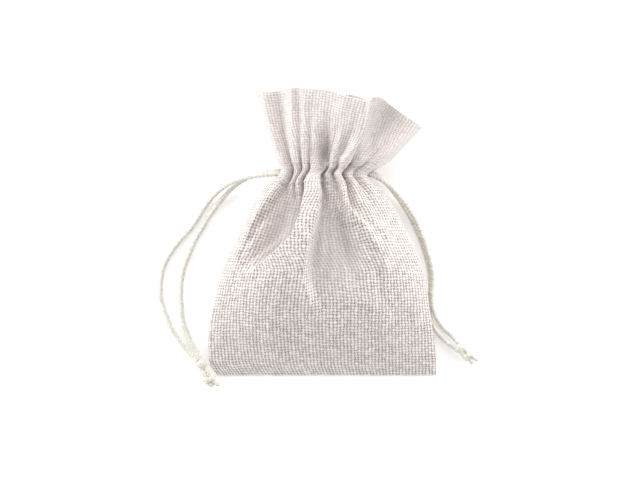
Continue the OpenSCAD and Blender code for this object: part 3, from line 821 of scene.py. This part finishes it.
# Columns are closer together at the seams, where the arch is steep.
fine_xi = np.sin(np.linspace(-np.pi / 2, np.pi / 2, 1401))
body_y = np.concatenate([
    turn_to * np.linspace(0, 1, turn_rows + 1)[:-1] ** 2,
    np.linspace(turn_to, neck_from, belly_rows),
    np.linspace(neck_from, neck_to, neck_rows + 1)[1:],
])
neck_row = turn_rows + belly_rows - 1
ruffle_v = np.linspace(0, 1, ruffle_count)
cloth_c = np.concatenate([body_y, neck_to + (rim_at - neck_to) * ruffle_v[1:]])

front_base, back_base = (
    np.concatenate([body_rows(fine_xi, body_y, front), ruffle_rows(fine_xi, ruffle_v[1:], front)])
    for front in (True, False)
)
front_off, back_off = lift(front_lines, fine_xi, cloth_c, 3), lift(back_lines, fine_xi, cloth_c, 21)
back_off *= np.clip((cloth_c - 52) / 20, 0, 1)[:, None]      # the back lies flat below 52 mm
front_normal, back_normal = outward(front_base, True), outward(back_base, False)
front_grid = front_base + front_off[..., None] * front_normal
back_grid = back_base + back_off[..., None] * back_normal
back_grid[..., 2] = np.maximum(back_grid[..., 2], low_limit)

front_cloth, front_width, front_fold = even(front_grid, front_columns, front_off)
back_cloth, back_width, back_fold = even(back_grid, back_columns, back_off)
front_uv, back_uv = thread_map(front_cloth), thread_map(back_cloth)
for c in (20, 40, 60, neck_from, 79.5, neck_to, 98, rim_at):
    k = int(np.argmin(np.abs(cloth_c - c)))
    widths = f"{front_width[k]:.0f} mm across in front, {back_width[k]:.0f} mm behind"
    print(f"at {c:.0f} mm the cloth is {widths}")
front_weave = weave("white open weave of the front", front_uv[neck_row, 0, 1] - double_before)
back_weave = weave("white open weave of the back", back_uv[neck_row, 0, 1] - double_before)
print(f"the top of the belly is {front_cloth[..., 2].max():.1f} mm high")
print(f"the front's cloth is {front_uv[-1, 0, 1]:.0f} mm long to the rim")

# %% [markdown]
# ## Cut the strip at the stitch rows
# The belly, the neck and the ruffle move differently, so each is a piece of its own. They share
# their edge rows.

# %% Belly and neck
def sheet_piece(name, laid, uv, fold, up, material):
    """`fold` is the height of the folds. From 1 mm below the plain arch the cloth starts to take
    the painted shade of a dent, and at 6 mm it takes it fully."""
    faces = grid_faces(*laid.shape[:2])
    sunk = np.clip((-fold - 1) / 5, 0, 1)
    return make_mesh(name, laid, (faces if up else faces[:, ::-1]).tolist(), uv, material, sunk)


end_row = len(body_y) - 1
(front_belly, back_belly), (front_neck, back_neck) = (
    [
        sheet_piece(f"{half}_{part}", laid[rows], uv[rows], fold[rows], half == "front", finish)
        for half, laid, uv, fold, finish in (
            ("front", front_cloth, front_uv, front_fold, front_weave),
            ("back", back_cloth, back_uv, back_fold, back_weave),
        )
    ]
    for part, rows in (("belly", slice(0, neck_row + 1)), ("neck", slice(neck_row, end_row + 1)))
)

# %% [markdown]
# ## The ruffle
# At the rim the cloth turns over and goes back down inside, so the ruffle is two layers thick
# with a rounded edge. Towards the neck the inner layer closes up, as its pleats fill the neck.

# %% Outer layer, rim and inner layer in one sheet
layer_gap = 0.9         # between the outer layer and the inner one
turn_from = 0.975       # where the rounded rim starts, as a share of the ruffle
closed_by = 6.6         # how far the inner layer sinks at the neck
ruffle_shrink = 0.76    # the cross yarns of the ruffle are closer together by this


def ruffle_sheet(base, normal, off, outer):
    """The outer layer up to the rim, a half circle over it, and the inner layer back down. Both
    layers stand off the sheet in the middle by half of layer_gap. The inner one leaves out the
    pleats, and sinks towards the middle of the neck instead."""
    v = ruffle_v
    edge = np.clip((v - turn_from) / (1 - turn_from), 0, 1)
    apart = layer_gap / 2 * np.sqrt(1 - edge**2)
    closing = closed_by * (1 - v) ** 2.2
    plain = off * smooth([(0, 0.1), (0.35, 0.5), (0.7, 1), (1, 1)], v)[:, None]
    inner = base + (plain - (apart + closing + layer_gap / 2)[:, None])[..., None] * normal
    outer_layer = outer + (apart - layer_gap / 2)[:, None, None] * normal
    return np.concatenate([outer_layer, inner[::-1][1:]])


ruffles = []
for half, base, normal, off, grid, uv, columns, finish in (
    ("front", front_base, front_normal, front_off, front_grid, front_uv, 241, front_weave),
    ("back", back_base, back_normal, back_off, back_grid, back_uv, 221, back_weave),
):
    off = off[end_row:]
    both = ruffle_sheet(base[end_row:], normal[end_row:], off, grid[end_row:])
    both[..., 2] = np.maximum(both[..., 2], low_limit)
    laid, _, fold = even(both, columns, np.concatenate([off, off[::-1][1:]]))
    threads = thread_map(laid, start=uv[end_row, 0, 1], shrink=ruffle_shrink)
    piece = sheet_piece(f"{half}_ruffle", laid, threads, fold, half == "front", finish)
    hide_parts(f"{half}_header", f"{half}_header_lining")
    ruffles.append(piece)
front_ruffle, back_ruffle = ruffles

# %% [markdown]
# ## Stitches
# Two rows of machine stitches hold the channel for the cords, on the front and on the back. The
# thread shows on each side of every pleat as short slanting dashes.

# %% Stitch rows
thread_r = 0.2
stitch_pitch = 3.0      # from one stitch to the next
stitch_long = 2.1


def stitch_row(name, laid, row, up):
    """Short tubes along one row of the cloth, each a bow that dips into the cloth at both ends."""
    line = laid[row]
    walked = distances(line)
    normal = outward(laid, up)[row]
    parts = []
    for start in np.arange(1.5, walked[-1] - stitch_pitch, stitch_pitch):
        t = np.linspace(0, 1, 6)
        at = start + stitch_long * t
        bow = 0.3 * np.sin(np.pi * t) - 0.1
        points = np.stack([np.interp(at, walked, line[:, k]) for k in range(3)], 1)
        stand = np.stack([np.interp(at, walked, normal[:, k]) for k in range(3)], 1)
        parts.append(tube(points + bow[:, None] * stand, thread_r, around=6))
    return tube_piece(name, parts, sewing_thread)


stitch_rows = {
    f"{half}_{level}_stitches": stitch_row(f"{half}_{level}_stitch_row", laid, row, half == "front")
    for half, laid in (("front", front_cloth), ("back", back_cloth))
    for level, row in (("lower", neck_row + 3), ("upper", end_row - 3))
}

# %% The cords inside the channel
def run_line(y, up):
    """Inside the pleats: the part of half an ellipse between 20 and 160 degrees, in front of the
    middle of the neck or behind it."""
    a = np.linspace(np.radians(20), np.radians(160), 120)
    height = neck_z + up * (1.65 + 1.35 * np.sin(a))
    return np.stack([11.0 * np.cos(a) + 0.6, np.full(a.shape, y), height], 1)


runs = {}
for side, y in (("left", 76.6), ("right", 82.4)):
    for half, up in (("front", 1), ("back", -1)):
        run = tube(run_line(y, up), braid, around=20)
        runs[f"{side}_cord_{half}_run"] = tube_piece(f"{side}_cord_round_{half}", [run], cord_braid)

# %% [markdown]
# ## What moves with what
# The neck's front slides down as the cords are pulled, and the stitches and cord runs on the front
# ride with it. The belly, the back and the ruffle stay where they are.

# %% Ride
def at(x, y, z):
    """A point for a blend, from millimetres."""
    return tuple(place(np.array([x, y, z], float)))


def across(first, towards, reach):
    """Where a blend starts and ends: from a point, in the direction `towards`, until the
    co-ordinate along `towards` has grown by `reach`."""
    towards = np.array(towards, float)
    return at(*first), at(*(np.array(first) + towards * reach / (towards @ towards)))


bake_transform(front_belly)
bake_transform(back_belly)
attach(front_neck, "neck_front")
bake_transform(back_neck)
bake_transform(front_ruffle)
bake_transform(back_ruffle)
for node, piece in stitch_rows.items():
    if node.startswith("front"):
        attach(piece, "neck_front")
    else:
        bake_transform(piece)
    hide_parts(node)
for node, piece in runs.items():
    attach(piece, "neck_front" if "front" in node else "pouch")
    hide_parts(node)
for piece, nodes in (
    (front_belly, ["front_panel"]),
    (back_belly, ["back_panel"]),
    (front_neck, ["front_channel", "front_channel_lining"]),
    (back_neck, ["back_channel", "back_channel_lining"]),
):
    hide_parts(*nodes)

# %% Finish the frame's own pieces
for node in ("left_side_seam", "right_side_seam"):
    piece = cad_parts[node]
    piece.data.materials.clear()
    piece.data.materials.append(seam_thread)

# %% [markdown]
# ## Table and light
# The table is plain and nearly white. Soft lights stand low at both sides, so that the crests of
# the folds are brighter than the valleys, and one beyond the mouth. The bright room fills the
# shadows.

# %% Table, light and room
table_glow = 0.20       # keeps the table nearly white under the soft shadows
room_light = 0.69
table_mesh = bpy.data.meshes.new("table")
table_mesh.from_pydata([(-2, -2, 0), (2, -2, 0), (2, 2, 0), (-2, 2, 0)], [], [(0, 1, 2, 3)])
table = bpy.data.objects.new("table", table_mesh)
bpy.context.scene.collection.objects.link(table)
plain = Nodes("white table")
plain.shader.inputs["Base Color"].default_value = (0.97, 0.97, 0.97, 1)
plain.shader.inputs["Roughness"].default_value = 0.8
plain.shader.inputs["Emission Color"].default_value = (1, 1, 1, 1)
plain.shader.inputs["Emission Strength"].default_value = table_glow
table_mesh.materials.append(plain.material)


def soft_light(name, where, size, power):
    """A square area light that faces the pouch."""
    data = bpy.data.lights.new(name, "AREA")
    data.size = size
    data.energy = power
    lamp = bpy.data.objects.new(name, data)
    lamp.location = where
    towards = -np.array(where)
    pitch = math.acos(-towards[2] / np.linalg.norm(towards))
    lamp.rotation_euler = (pitch, 0, math.atan2(where[0], -where[1]))
    bpy.context.scene.collection.objects.link(lamp)


soft_light("light beyond the mouth", (0.08, 0.85, 0.46), 0.6, 4.6)
soft_light("light at the left", (-0.90, 0.10, 0.27), 0.4, 5.0)
soft_light("light at the right", (0.90, 0.12, 0.26), 0.4, 4.2)
room = bpy.data.worlds.new("room")
room.use_nodes = True
room.node_tree.nodes["Background"].inputs["Color"].default_value = (1, 1, 1, 1)
room.node_tree.nodes["Background"].inputs["Strength"].default_value = room_light
bpy.context.scene.world = room
